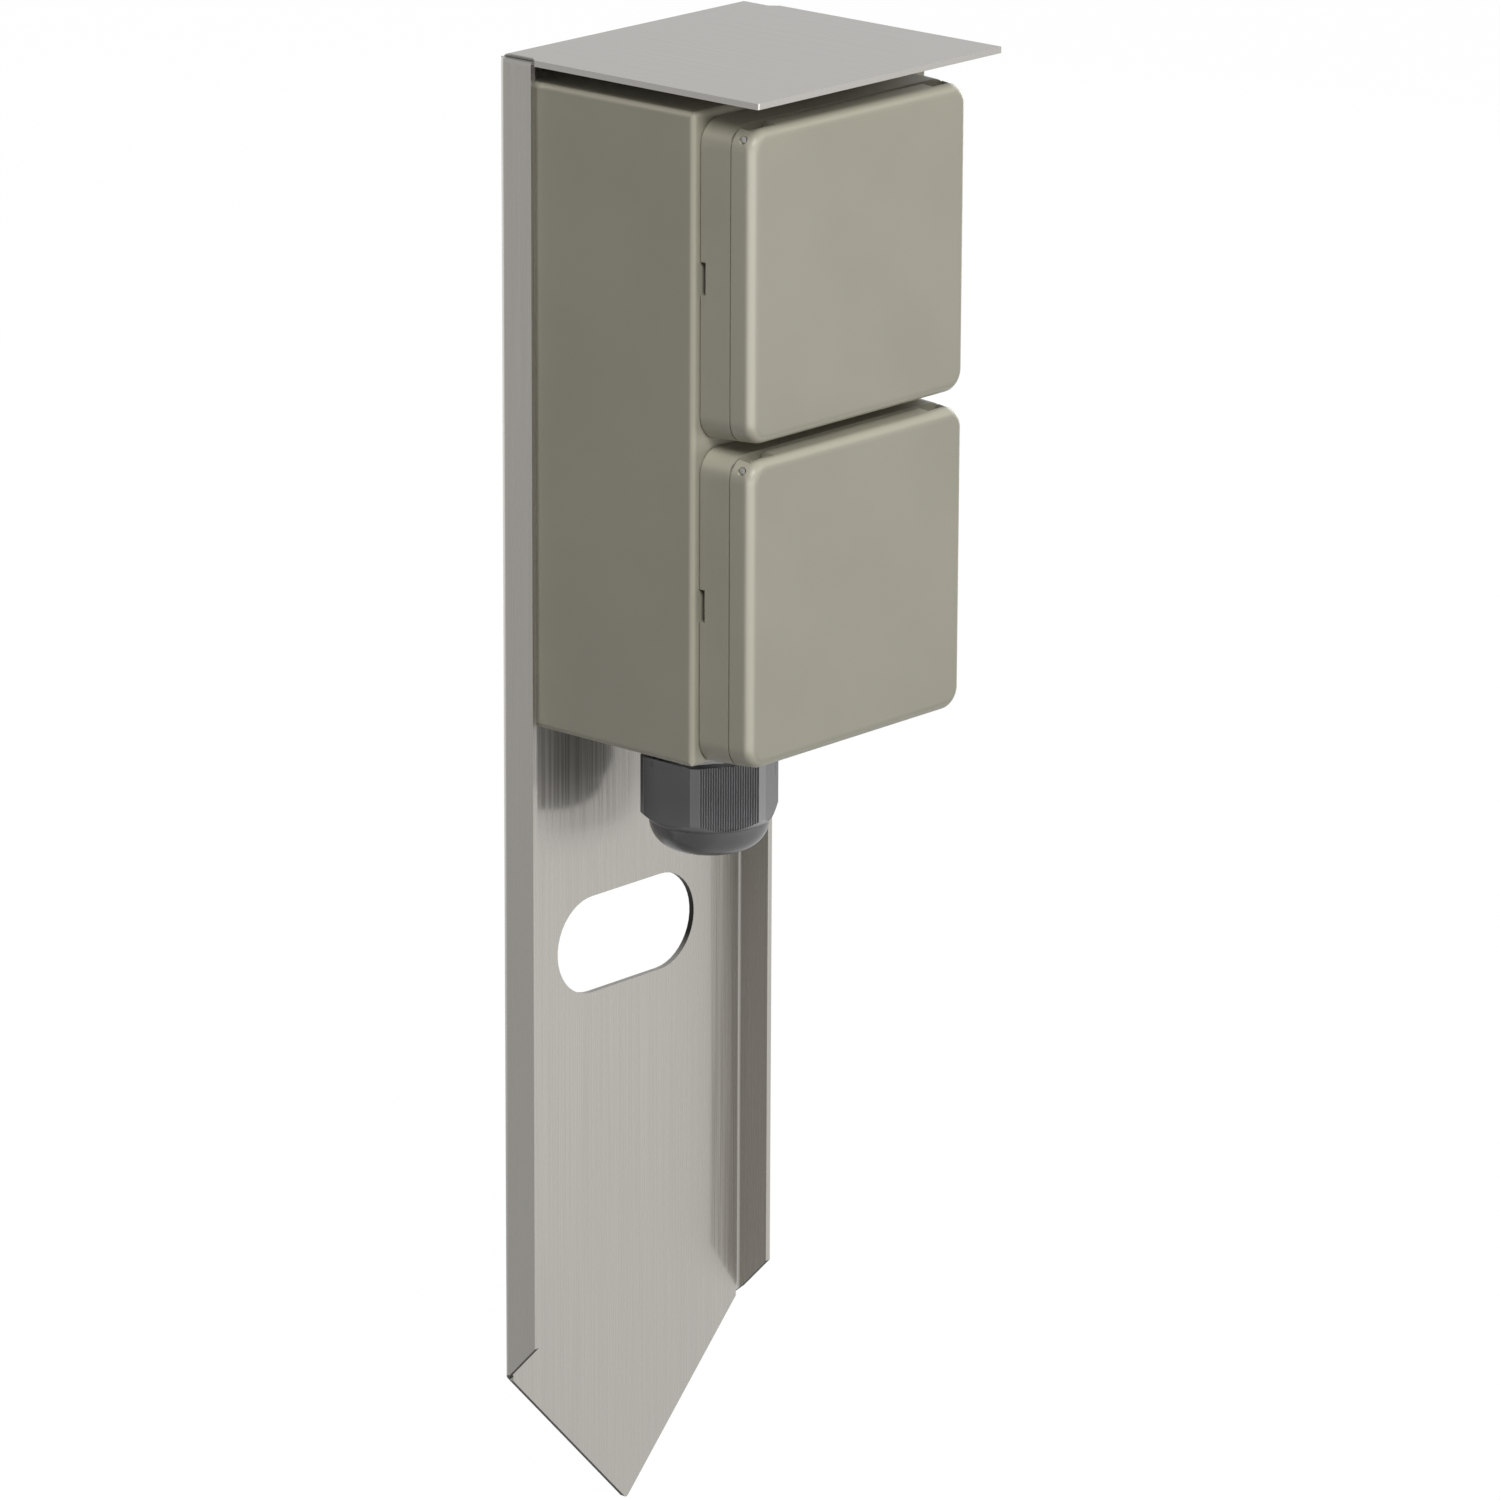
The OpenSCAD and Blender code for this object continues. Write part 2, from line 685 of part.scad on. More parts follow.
module clip_slots() {
    for (t = [0, 1]) mirror([0, 0, t])
        translate([0, 0, recess_r + 0.2 - clip_reach])
            translate([0, 0, (clip_reach + 2.4) / 2])
                block_y(clip_w + 0.8, clip_reach + 2.4, floor_back - 1, insert_front - 2.2);
}

module insert() {
    difference() {
        union() {
            round_block_y(face_w, face_w, face_r, flange_back, insert_front);
            round_block_y(skirt_w, skirt_w, skirt_r, flange_back, flange_front);
            difference() {
                round_block_y(skirt_w, skirt_w, skirt_r, face_y + gasket_h, flange_front);
                round_block_y(port_w + 3, port_w + 3, port_r + 1, face_y, flange_back);
            }
            rod_y(recess_r + recess_wall, floor_back, insert_front - 1);
        }
        rod_y(recess_r, floor_y, insert_front + 1);
        // Lead-in at the mouth of the recess
        translate([0, -insert_front + 1, 0]) rotate([90, 0, 0])
            cylinder(r1 = recess_r, r2 = recess_r + 1.05, h = 1.05);
        for (x = [-1, 1]) translate([x * pin_pitch / 2, 0, 0]) {
            rod_y(pin_hole_r, floor_back - 1, floor_y + 1);
            rod_y(sleeve_out + screw_clear, floor_back - 1, floor_back + sleeve_seat);
        }
        rod_y(small_screw_r + 0.2, floor_back - 1, floor_y + 1);
        clip_slots();
        // Room behind the frame's latch notches for the tool that lifts the frame off
        for (s = [-1, 1]) translate([s * skirt_w / 2, 0, notch_rise])
            block_y(2 * (skirt_rim - lift_wall), notch_h + 1, face_y, face_y + notch_d + 0.6);
    }
}

// A bent strip: the earth strap behind the recess and its two sprung ends
module earth_clip() {
    back = floor_back;
    run = clip_run;
    tip = recess_r - clip_reach;
    front = insert_front - 3;
    mid = (front + floor_y) / 2 + 2;
    line = [[back - clip_t, 0], [back - clip_t, run + clip_t], [mid, run + clip_t],
        [front - 3, tip + clip_t], [front, run - 0.4]];
    edge = [[front - 0.3, run - 1.2], [front - 3, tip], [mid, run], [back, run], [back, 0]];
    outline = [for (p = concat(line, edge)) [-p[0], p[1]]];
    difference() {
        for (t = [0, 1]) mirror([0, 0, t]) translate([-clip_w / 2, 0, 0]) along_x(clip_w) polygon(outline);
        rod_y(small_screw_r + 0.4, back - 2, back + 1);
    }
}

module base() {
    difference() {
        union() {
            round_block_y(base_w, base_w, base_r, base_back, floor_back);
            block_y(2 * ear_x + ear_w, ear_h, base_back, base_back + ear_t);
        }
        for (x = [-1, 1]) translate([x * pin_pitch / 2, 0, 0])
            rod_y(sleeve_out + screw_clear, base_back - 1, floor_back + 1);
        block_y(clip_w + 0.4, base_w + 2, floor_back - clip_t, floor_back + 1);
        rod_y(small_screw_r + screw_clear, base_back - 1, floor_back + 1);
        translate([0, 0, earth_dz])
            block_y(stud_w + 2 * stud_gap, stud_w + 2 * stud_gap, base_back - 1, floor_back);
        base_screw_places() rod_y(small_screw_r + 0.2, base_back - 1, base_back + ear_t + 1);
    }
}

// A block with a hole for its wire and one for its screw
module terminal_block() {
    difference() {
        block_y(terminal_w, terminal_w, terminal_back, base_back);
        translate([0, -terminal_back - terminal_d / 2, 0]) rotate([0, 90, 0])
            cylinder(r = small_screw_r + screw_clear, h = terminal_w + 2);
    }
}

module contacts() {
    for (x = [-1, 1]) translate([x * pin_pitch / 2, 0, 0]) {
        difference() {
            rod_y(sleeve_out, base_back - 0.5, floor_back + sleeve_seat);
            rod_y(sleeve_r, base_back + 1, floor_back + sleeve_seat + 1);
            block_y(0.8, 2 * sleeve_out + 2, base_back + 2, floor_back + sleeve_seat + 1);
        }
        mirror([x < 0 ? 1 : 0, 0, 0]) terminal_block();
    }
}

module earth_terminal() {
    translate([0, 0, earth_dz]) {
        terminal_block();
        block_y(stud_w, stud_w, base_back - 0.5, floor_back - clip_t);
    }
}

// A screw that enters towards the back: head in front, slot across it
module front_screw(head_r, head_h, r, seat, len) {
    difference() {
        union() {
            rod_y(head_r, seat, seat + head_h);
            rod_y(r, seat - len, seat + eps);
        }
        block_y(2 * head_r + 1, drive_w, seat + head_h - drive_w, seat + head_h + 1);
        block_y(drive_w, 2 * head_r + 1, seat + head_h - drive_w, seat + head_h + 1);
    }
}

module terminal_screws() {
    places = [[-1, -pin_pitch / 2, 0], [1, pin_pitch / 2, 0], [1, 0, earth_dz]];
    for (p = places) translate([p[1], -terminal_back - terminal_d / 2, p[2]])
        rotate([0, 90 * p[0], 0]) {
            cylinder(r = small_screw_r, h = terminal_w / 2);
            translate([0, 0, terminal_w / 2]) difference() {
                cylinder(r = terminal_head_r, h = terminal_head_h);
                translate([-drive_w / 2, -terminal_head_r - 1, terminal_head_h - drive_w])
                    cube([drive_w, 2 * terminal_head_r + 2, drive_w + 1]);
            }
        }
}

// Link wires run straight up between the terminal blocks
module link_wire(x, dz) {
    translate([x, -terminal_back - terminal_d / 2, lower_z + dz + terminal_w / 2])
        cylinder(r = wire_r, h = upper_z - lower_z - terminal_w);
}

// Gland

module hex_prism(r, h) rotate([0, 0, 30]) cylinder(r = r, h = h, $fn = 6);

// Half section of the round body that limits the nut: ribs above, dome below
module nut_envelope() {
    c = dome_edge_r;
    slope_top = nut_corner_h;
    polygon([[0, 0], [dome_r - c, 0], [dome_r - c, c], [dome_r, c],
        [nut_r, slope_top], [nut_r, nut_h - top_chamfer], [nut_r - top_chamfer, nut_h], [0, nut_h]]);
    translate([dome_r - c, c]) mirror([0, 1]) intersection() {
        circle(c);
        square(c);
    }
}

// Cross-section of the nut: a hexagon with its corners cut flat and fine ribs on its sides
module nut_section() {
    side_half = nut_r / 2 - land_w / sqrt(3);
    step = side_half / rib_count;
    polygon([for (side = [0:5], i = [0:2 * rib_count])
        let (out = nut_flat - (i % 2) * rib_h, off = i * step - side_half, turn = 60 * side)
        [on_grid(out * cos(turn) - off * sin(turn)), on_grid(out * sin(turn) + off * cos(turn))]]);
}

module gland_nut() {
    color([0.3, 0.3, 0.31]) translate([0, -gland_y, nut_bottom]) difference() {
        intersection() {
            rotate_extrude($fn = 64) nut_envelope();
            linear_extrude(nut_h) nut_section();
        }
        translate([0, 0, -1]) cylinder(r = outlet_r, h = nut_h);
        // Cone that squeezes the claws, then the thread's bore
        translate([0, 0, thread_start - 7])
            cylinder(r1 = outlet_r, r2 = gland_r + thread_clear, h = 7);
        translate([0, 0, thread_start - eps]) cylinder(r = gland_r + thread_clear, h = nut_h);
    }
}

module gland_body() {
    claw_count = 8;
    color([0.3, 0.3, 0.31]) translate([0, -gland_y, 0]) difference() {
        union() {
            translate([0, 0, collar_bottom]) intersection() {
                hex_prism(collar_r, collar_h);
                cylinder(r = collar_r - nut_trim, h = collar_h);
            }
            translate([0, 0, thread_bottom]) cylinder(r = gland_r, h = collar_top - thread_bottom + eps);
            translate([0, 0, seal_bottom + claw_drop])
                cylinder(r = claw_r, h = thread_bottom - seal_bottom - claw_drop + eps);
            translate([0, 0, collar_top - eps])
                cylinder(r = gland_r, h = washer_h + housing_wall + locknut_h + thread_end);
        }
        translate([0, 0, seal_bottom - 1]) cylinder(r = seal_r + 0.1, h = seal_top - seal_bottom + 1);
        translate([0, 0, seal_top - eps])
            cylinder(r = seal_r - 1, h = housing_bottom + housing_wall + locknut_h + 5 - seal_top);
        for (i = [0:claw_count / 2 - 1]) rotate([0, 0, 180 / claw_count * (2 * i + 1)])
            translate([-gland_r - 1, -0.5, seal_bottom - 1])
                cube([2 * gland_r + 2, 1, thread_bottom - seal_bottom]);
    }
}

module gland_seal() {
    color([0.12, 0.12, 0.12]) translate([0, -gland_y, seal_bottom]) difference() {
        cylinder(r = seal_r, h = seal_top - seal_bottom - 0.1);
        translate([0, 0, -1]) cylinder(r = cable_r, h = seal_top - seal_bottom + 2);
    }
}

module gland_ring(r, from, h) {
    translate([0, -gland_y, from]) difference() {
        cylinder(r = r, h = h);
        translate([0, 0, -1]) cylinder(r = gland_r + thread_clear, h = h + 2);
    }
}

module gland_washer() color([0.12, 0.12, 0.12]) gland_ring(gland_r + 3, collar_top, washer_h);

module gland_locknut() {
    color([0.3, 0.3, 0.31]) translate([0, -gland_y, housing_bottom + housing_wall]) difference() {
        hex_prism(locknut_r, locknut_h);
        translate([0, 0, -1]) cylinder(r = gland_r + thread_clear, h = locknut_h + 2);
    }
}

// Fasteners

module rear_screw(len) {
    r = rear_head_r;
    difference() {
        union() {
            rod_y(r, -rear_head_h, 0);
            rod_y(rear_screw_r, -eps, len);
        }
        for (a = [0, 90]) rotate([0, a, 0]) block_y(0.9, r * 1.3, -rear_head_h - 1, -rear_head_h + 1.2);
    }
}

module rear_screws()
    color([0.75, 0.75, 0.74]) rear_screw_places() rear_screw(inner_back + boss_len - 2);

module earth_screw() color([0.75, 0.75, 0.74]) earth_screw_place() rear_screw(inner_back + 7);

module earth_nut() {
    color([0.75, 0.75, 0.74]) earth_screw_place() difference() {
        translate([0, -inner_back - lug_t, 0]) rotate([90, 0, 0]) cylinder(r = earth_nut_r, h = earth_nut_h, $fn = 6);
        rod_y(rear_screw_r + screw_clear, inner_back, inner_back + 10);
    }
}

// Arc of a bend in the (y, z) plane, as [y, z] points about a centre
function bend_arc_points(cy, cz, r, a0, a1) =
    [for (i = [0:4]) let (a = a0 + (a1 - a0) * i / 4) [0, cy + r * cos(a), cz + r * sin(a)]];
function bend_arc_normals(a0, a1, sign) =
    [for (i = [0:4]) let (a = a0 + (a1 - a0) * i / 4) [0, sign * cos(a), sign * sin(a)]];

// A ring lug on the earth screw, with its wire bent up to the lower earth terminal
module earth_lug() {
    start = [-inner_back - wire_gap - wire_r, earth_screw_z + lug_r + 1];
    end = [-terminal_back - terminal_d / 2, lower_z + earth_dz - terminal_w / 2];
    r = 2 * wire_r;
    level = (start[1] + end[1]) / 2;
    points = concat([[0, start[0], start[1]]],
        bend_arc_points(start[0] - r, level - r, r, 0, 90),
        bend_arc_points(end[0] + r, level + r, r, 270, 180),
        [[0, end[0], end[1]]]);
    normals = concat([[0, 1, 0]], bend_arc_normals(0, 90, 1), bend_arc_normals(270, 180, -1), [[0, 1, 0]]);
    color([0.45, 0.6, 0.25]) {
        translate([0, 0, earth_screw_z]) difference() {
            union() {
                rod_y(lug_r, inner_back, inner_back + lug_t);
                translate([0, 0, lug_tongue_h / 2])
                    block_y(lug_tongue_w, lug_tongue_h, inner_back, inner_back + lug_t);
            }
            rod_y(rear_screw_r + screw_clear, inner_back - 1, inner_back + lug_t + 1);
        }
        tube(points, normals, wire_r, 8);
    }
}

plastic = [0.55, 0.54, 0.48];
dark = [0.14, 0.14, 0.14];
steel = [0.75, 0.75, 0.74];
brass = [0.72, 0.6, 0.32];

module at(z, c) color(c) translate([0, 0, z]) children();

post_sheet();
housing();
at(upper_z, plastic) frame_cover();  // upper_frame
at(lower_z, plastic) frame_cover();  // lower_frame
at(upper_z, plastic) lid();  // upper_lid
at(lower_z, plastic) lid();  // lower_lid
at(upper_z, steel) hinge_pin();  // upper_hinge_pin
at(lower_z, steel) hinge_pin();  // lower_hinge_pin
at(upper_z, steel) lid_spring();  // upper_lid_spring
at(lower_z, steel) lid_spring();  // lower_lid_spring
at(upper_z, dark) lid_seal();  // upper_lid_seal
at(lower_z, dark) lid_seal();  // lower_lid_seal
at(upper_z, dark) gasket();  // upper_gasket
at(lower_z, dark) gasket();  // lower_gasket
at(upper_z, plastic) insert();  // upper_insert
at(lower_z, plastic) insert();  // lower_insert
at(upper_z, brass) earth_clip();  // upper_earth_clip
at(lower_z, brass) earth_clip();  // lower_earth_clip
at(upper_z, [0.8, 0.79, 0.75]) base();  // upper_base
at(lower_z, [0.8, 0.79, 0.75]) base();  // lower_base
at(upper_z, brass) contacts();  // upper_contacts
at(lower_z, brass) contacts();  // lower_contacts
at(upper_z, brass) earth_terminal();  // upper_earth_terminal
at(lower_z, brass) earth_terminal();  // lower_earth_terminal
at(upper_z, steel)  // upper_centre_screw
    front_screw(centre_head_r, centre_head_h, small_screw_r, floor_y, recess_wall + base_d - 2);
at(lower_z, steel)  // lower_centre_screw
    front_screw(centre_head_r, centre_head_h, small_screw_r, floor_y, recess_wall + base_d - 2);
at(upper_z, steel) base_screw_places()  // upper_base_screws
    front_screw(base_head_r, base_head_h, small_screw_r, base_back + ear_t, ear_t + base_screw_grip);
at(lower_z, steel) base_screw_places()  // lower_base_screws
    front_screw(base_head_r, base_head_h, small_screw_r, base_back + ear_t, ear_t + base_screw_grip);
at(upper_z, steel) terminal_screws();  // upper_terminal_screws
at(lower_z, steel) terminal_screws();  // lower_terminal_screws
color([0.4, 0.22, 0.12]) link_wire(-pin_pitch / 2, 0);  // live_link_wire
color([0.15, 0.35, 0.7]) link_wire(pin_pitch / 2, 0);  // neutral_link_wire
color([0.45, 0.6, 0.25]) link_wire(0, earth_dz);  // earth_link_wire
gland_body();
gland_nut();
gland_seal();
gland_washer();
gland_locknut();
rear_screws();
earth_screw();
earth_nut();
earth_lug();
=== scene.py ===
import json
import math

import bmesh
import bpy
from mathutils import Matrix, Vector

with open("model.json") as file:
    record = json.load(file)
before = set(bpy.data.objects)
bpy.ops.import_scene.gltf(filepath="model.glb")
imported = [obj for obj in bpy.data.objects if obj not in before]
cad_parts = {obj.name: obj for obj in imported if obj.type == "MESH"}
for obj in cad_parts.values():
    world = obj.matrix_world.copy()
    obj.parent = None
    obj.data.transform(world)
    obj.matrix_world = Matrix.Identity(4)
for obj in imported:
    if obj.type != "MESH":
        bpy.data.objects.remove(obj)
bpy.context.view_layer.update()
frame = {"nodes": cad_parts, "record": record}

nodes = frame["nodes"]
scene = bpy.context.scene

# Heights, a half width and a depth, in metres, that the finishes keep to
roof_underside = 0.3783
spike_top = 0.11
slot_below, slot_above = 0.12, 0.18
slot_half = 0.03
dome_top, ribs_bottom = 0.1865, 0.1885
finest_grain = 0.00001


def srgb(red, green, blue):
    """A screen colour, each part 0 to 255, as the linear colour that a shader takes."""
    parts = [v / 255 for v in (red, green, blue)]
    return [v / 12.92 if v <= 0.04045 else ((v + 0.055) / 1.055) ** 2.4 for v in parts] + [1.0]


# Camera at the photograph's viewing angle

def look_from(place, azimuth, elevation, roll, lens):
    """A camera at a place, turned so that it looks back along the given angles."""
    a, e, r = (math.radians(v) for v in (azimuth, elevation, roll))
    back = Vector((math.sin(a) * math.cos(e), -math.cos(a) * math.cos(e), math.sin(e)))
    side = Vector((0, 0, 1)).cross(back).normalized()
    up = back.cross(side)
    turned_side = math.cos(r) * side + math.sin(r) * up
    turned_up = math.cos(r) * up - math.sin(r) * side
    data = bpy.data.cameras.new("photo_camera")
    data.lens = lens
    data.sensor_width = 36
    data.clip_start = 0.05
    data.clip_end = 50
    camera = bpy.data.objects.new("photo_camera", data)
    camera.matrix_world = Matrix.Translation(place) @ Matrix(
        (turned_side, turned_up, back)).transposed().to_4x4()
    scene.collection.objects.link(camera)
    return camera


scene.camera = look_from(Vector((-1.4571, -1.3416, 0.7931)),
                         azimuth=-48.28, elevation=16.73, roll=0.26, lens=200.7)
scene.view_settings.view_transform = "Standard"


# Shader building

class Value:
    """A shader socket that takes part in Python arithmetic."""

    def __init__(self, look, socket):
        self.look = look
        self.socket = socket

    def maths(self, operation, *numbers):
        node = self.look.add("ShaderNodeMath", {"operation": operation}, dict(enumerate(numbers)))
        return Value(self.look, node.outputs[0])

    def __add__(self, other):
        return self.maths("ADD", self, other)

    __radd__ = __add__

    def __sub__(self, other):
        return self.maths("SUBTRACT", self, other)

    def __rsub__(self, other):
        return self.maths("SUBTRACT", other, self)

    def __mul__(self, other):
        return self.maths("MULTIPLY", self, other)

    __rmul__ = __mul__

    def __truediv__(self, other):
        return self.maths("DIVIDE", self, other)

    def __pow__(self, other):
        return self.maths("POWER", self, other)

    def __gt__(self, other):
        return self.maths("GREATER_THAN", self, other)

    def __lt__(self, other):
        return self.maths("LESS_THAN", self, other)

    def __abs__(self):
        return self.maths("ABSOLUTE", self)


class Look:
    """One material, and the few kinds of node that this post's finishes need."""

    def __init__(self, name, owner=None):
        self.material = owner or bpy.data.materials.new(name)
        self.material.use_nodes = True
        self.tree = self.material.node_tree
        self.tree.nodes.clear()

    def add(self, kind, settings, sockets):
        """A node of a kind, with its settings made first and then its sockets filled or linked."""
        node = self.tree.nodes.new(kind)
        for key, value in settings.items():
            setattr(node, key, value)
        for key, value in sockets.items():
            source = value.socket if isinstance(value, Value) else value
            if isinstance(source, bpy.types.NodeSocket):
                self.tree.links.new(source, node.inputs[key])
            else:
                node.inputs[key].default_value = source
        return node

    def place(self):
        """Object coordinates as three values, in metres."""
        spot = self.add("ShaderNodeTexCoord", {}, {})
        parts = self.add("ShaderNodeSeparateXYZ", {}, {0: spot.outputs["Object"]})
        return [Value(self, out) for out in parts.outputs]

    def facing(self):
        """The surface's normal as three values."""
        way = self.add("ShaderNodeNewGeometry", {}, {})
        parts = self.add("ShaderNodeSeparateXYZ", {}, {0: way.outputs["Normal"]})
        return [Value(self, out) for out in parts.outputs]

    def rays(self):
        """Whether a ray comes from the camera, from a gloss, or through clear matter."""
        path = self.add("ShaderNodeLightPath", {}, {})
        kinds = ("Is Camera Ray", "Is Glossy Ray", "Is Transmission Ray")
        return [Value(self, path.outputs[kind]) for kind in kinds]

    def noise(self, x, y, z, detail=2.0, rough=0.5):
        """Noise between 0 and 1 at a place made of three values."""
        spot = self.add("ShaderNodeCombineXYZ", {}, {0: x, 1: y, 2: z})
        node = self.add("ShaderNodeTexNoise", {"noise_dimensions": "3D"}, {
            "Vector": spot.outputs[0], "Scale": 1.0, "Detail": detail, "Roughness": rough})
        return Value(self, node.outputs[0])

    def blend(self, share, first, second):
        """A colour between two, by a share; a colour Mix takes its colours at sockets 6 and 7."""
        node = self.add("ShaderNodeMix", {"data_type": "RGBA"}, {0: share, 6: first, 7: second})
        return node.outputs[2]

    def ramp(self, value, low, high):
        """A value that goes from 0 at low to 1 at high."""
        node = self.add("ShaderNodeMapRange", {"interpolation_type": "SMOOTHSTEP"}, {
            0: value, 1: low, 2: high, 3: 0.0, 4: 1.0})
        return Value(self, node.outputs[0])

    def bump(self, height, depth, strength):
        """A normal from a height between 0 and 1 that stands for a depth in metres."""
        node = self.add("ShaderNodeBump", {}, {
            "Strength": strength, "Distance": depth, "Height": height})
        return node.outputs[0]

    def surface(self, **sockets):
        """A Principled shader, whose sockets are named with underscores."""
        named = {key.replace("_", " "): value for key, value in sockets.items()}
        return self.add("ShaderNodeBsdfPrincipled", {}, named).outputs[0]

    def finish(self, surface):
        """The material, with its surface joined to the output."""
        self.add("ShaderNodeOutputMaterial", {}, {0: surface})
        return self.material


# Finishes

def brushed_stainless():
    """Stainless sheet, ground along its length; the grain runs round the bend onto the roof."""
    look = Look("brushed_stainless")
    x, y, z = look.place()
    nx, ny, nz = look.facing()
    roof = z > roof_underside
    along = y * roof + z * (1 - roof)
    across = x + y * (1 - roof)
    flat = 1 - roof * 0.9
    fine = look.noise(across * 2200, along * 14, 0.0, 1.0, 0.5)
    broad = look.noise(across * 700, along * 6, 3.0, 2.0, 0.5)
    streak = 0.5 + (fine * 0.7 + broad * 0.3 - 0.5) * flat
    colour = look.blend(look.ramp(streak, 0.3, 0.7), srgb(182, 179, 174), srgb(186, 183, 178))
    # The cut edges of the spike and the hand slot are rougher than the ground faces and darker in
    # colour; on the slot's walls the dark colour is painted shade, lighter where a wall faces up
    spike = (abs(nz) > 0.15) * (z < spike_top)
    slot = (abs(ny) < 0.5) * (abs(x) < slot_half) * (z > slot_below) * (z < slot_above)
    cut = spike + slot * (1 - look.ramp(nz, 0.4, 0.9) * 0.7)
    cut_dark_and_slot_shade = srgb(52, 51, 49)
    colour = look.blend(cut, colour, cut_dark_and_slot_shade)
    # The outside of a bend carries a painted highlight, which fades out towards the bottom
    bend = look.ramp(abs(nx) * ny * 2, 0.1, 0.6) * look.ramp(z, 0.06, 0.3)
    bright = srgb(240, 239, 235)
    colour = look.blend(bend, colour, bright)
    grain = look.bump(streak, 0.00002, 0.22)
    # Between the grinding lines the sheet mirrors, and in them it spreads the light widely
    smooth = look.surface(Base_Color=colour, Metallic=1.0, Roughness=0.13 + cut * 0.3, Normal=grain)
    # The ground surface takes the same painted shade on the slot walls and the same painted highlight on
    # the bends
    satin = look.blend(roof, srgb(177, 174, 168), srgb(180, 178, 174))
    satin = look.blend(cut, satin, cut_dark_and_slot_shade)
    satin = look.blend(bend, satin, bright)
    ground = look.surface(Base_Color=satin, Metallic=1.0, Roughness=0.52, Normal=grain)
    share = (0.48 + look.ramp(streak, 0.34, 0.68) * 0.42) * (1 - roof * 0.35)
    both = look.add("ShaderNodeMixShader", {}, {0: share, 1: smooth, 2: ground})
    return look.finish(both.outputs[0])


def moulded_plastic(name, colour, dark, roughness=0.44):
    """Moulded plastic with a fine satin grain and slight clouding."""
    look = Look(name)
    x, y, z = look.place()
    cloud = look.noise(x * 35, y * 35, z * 35, 2.0, 0.5)
    pores = look.noise(x * 2400, y * 2400, z * 2400, 2.0, 0.5)
    shade = look.blend(look.ramp(cloud, 0.3, 0.7), dark, colour)
    # Rounded edges are a little smoother than the faces, and are painted paler as a highlight
    nx, ny, nz = look.facing()
    edge = 1 - look.ramp(nx ** 4.0 + ny ** 4.0 + nz ** 4.0, 0.55, 0.95)
    painted_edge_highlight = [min(1.0, v * 1.29) for v in colour[:3]] + [1.0]
    shade = look.blend(edge, shade, painted_edge_highlight)
    return look.finish(look.surface(Base_Color=shade,
                                    Roughness=roughness - 0.04 + cloud * 0.08 - edge * 0.06,
                                    IOR=1.47, Normal=look.bump(pores, finest_grain, 0.5)))


def gland_plastic():
    """The gland's dark plastic; the smooth dome under the ribbed grip is painted darker, as shade."""
    look = Look("dark_gland_plastic")
    x, y, z = look.place()
    pores = look.noise(x * 2400, y * 2400, z * 2400, 2.0, 0.5)
    rubbed = look.noise(x * 160, y * 160, z * 90, 3.0, 0.55)
    # The dome under the grip is painted darker as shade
    grip = look.ramp(z, dome_top, ribs_bottom)
    shade = look.blend(grip, srgb(60, 60, 61), srgb(95, 95, 96))
    shade = look.blend(look.ramp(rubbed, 0.55, 0.8) * 0.5, shade, srgb(106, 106, 106))
    return look.finish(look.surface(Base_Color=shade, Roughness=0.24 + rubbed * 0.1, IOR=1.55,
                                    Normal=look.bump(pores, finest_grain, 0.4)))


def turned_metal(name, colour, dark, roughness):
    """Small bright metal pieces, with faint scuffs."""
    look = Look(name)
    x, y, z = look.place()
    scuff = look.noise(x * 900, y * 900, z * 300, 3.0, 0.6)
    shade = look.blend(look.ramp(scuff, 0.35, 0.7), dark, colour)
    return look.finish(look.surface(Base_Color=shade, Metallic=1.0,
                                    Roughness=roughness + scuff * 0.12,
                                    Normal=look.bump(scuff, finest_grain, 0.4)))


def soft_rubber(name):
    """Matt black rubber."""
    look = Look(name)
    x, y, z = look.place()
    dust = look.noise(x * 500, y * 500, z * 500, 3.0, 0.6)
    shade = look.blend(look.ramp(dust, 0.35, 0.8), srgb(30, 30, 30), srgb(44, 44, 43))
    return look.finish(look.surface(Base_Color=shade, Roughness=0.7 + dust * 0.15,
                                    Normal=look.bump(dust, 0.00002, 0.4)))


def insulation(name, colour, second=None):
    """Wire insulation; the earth wire has a second colour in a stripe along it."""
    look = Look(name)
    x, y, z = look.place()
    wear = look.noise(x * 300, y * 300, z * 300, 2.0, 0.5)
    shade = look.blend(look.ramp(wear, 0.3, 0.7), [v * 0.85 for v in colour[:3]] + [1.0], colour)
    if second:
        stripe = look.facing()[0] > 0.25
        shade = look.blend(stripe, shade, second)
    return look.finish(look.surface(Base_Color=shade, Roughness=0.36 + wear * 0.1,
                                    Normal=look.bump(wear, finest_grain, 0.3)))


finishes = {
    "stainless_sheet": brushed_stainless(),
    "housing_plastic": moulded_plastic("beige_grey_plastic", srgb(166, 163, 147), srgb(162, 159, 143)),
    "gland_plastic": gland_plastic(),
    "rubber_seal": soft_rubber("black_rubber"),
    "base_plastic": moulded_plastic("pale_base_plastic", srgb(222, 220, 212), srgb(214, 211, 202), 0.5),
    "brass": turned_metal("stamped_brass", srgb(214, 184, 112), srgb(196, 164, 96), 0.25),
    "plated_steel": turned_metal("plated_steel", srgb(182, 181, 178), srgb(164, 163, 160), 0.27),
    "spring_steel": turned_metal("spring_steel", srgb(190, 190, 190), srgb(170, 170, 170), 0.25),
    "live_insulation": insulation("brown_insulation", srgb(110, 66, 40)),
    "neutral_insulation": insulation("blue_insulation", srgb(40, 84, 170)),
    "earth_insulation": insulation("earth_insulation", srgb(70, 130, 50), srgb(225, 205, 60)),
}

for part in frame["record"]["subparts"]:
    piece = nodes[part["node"]]
    if not piece.material_slots:
        piece.data.materials.append(None)
    for place in piece.material_slots:
        place.material = finishes[part["material_slot"]]


# Studio: pale floor, white background, soft lamps

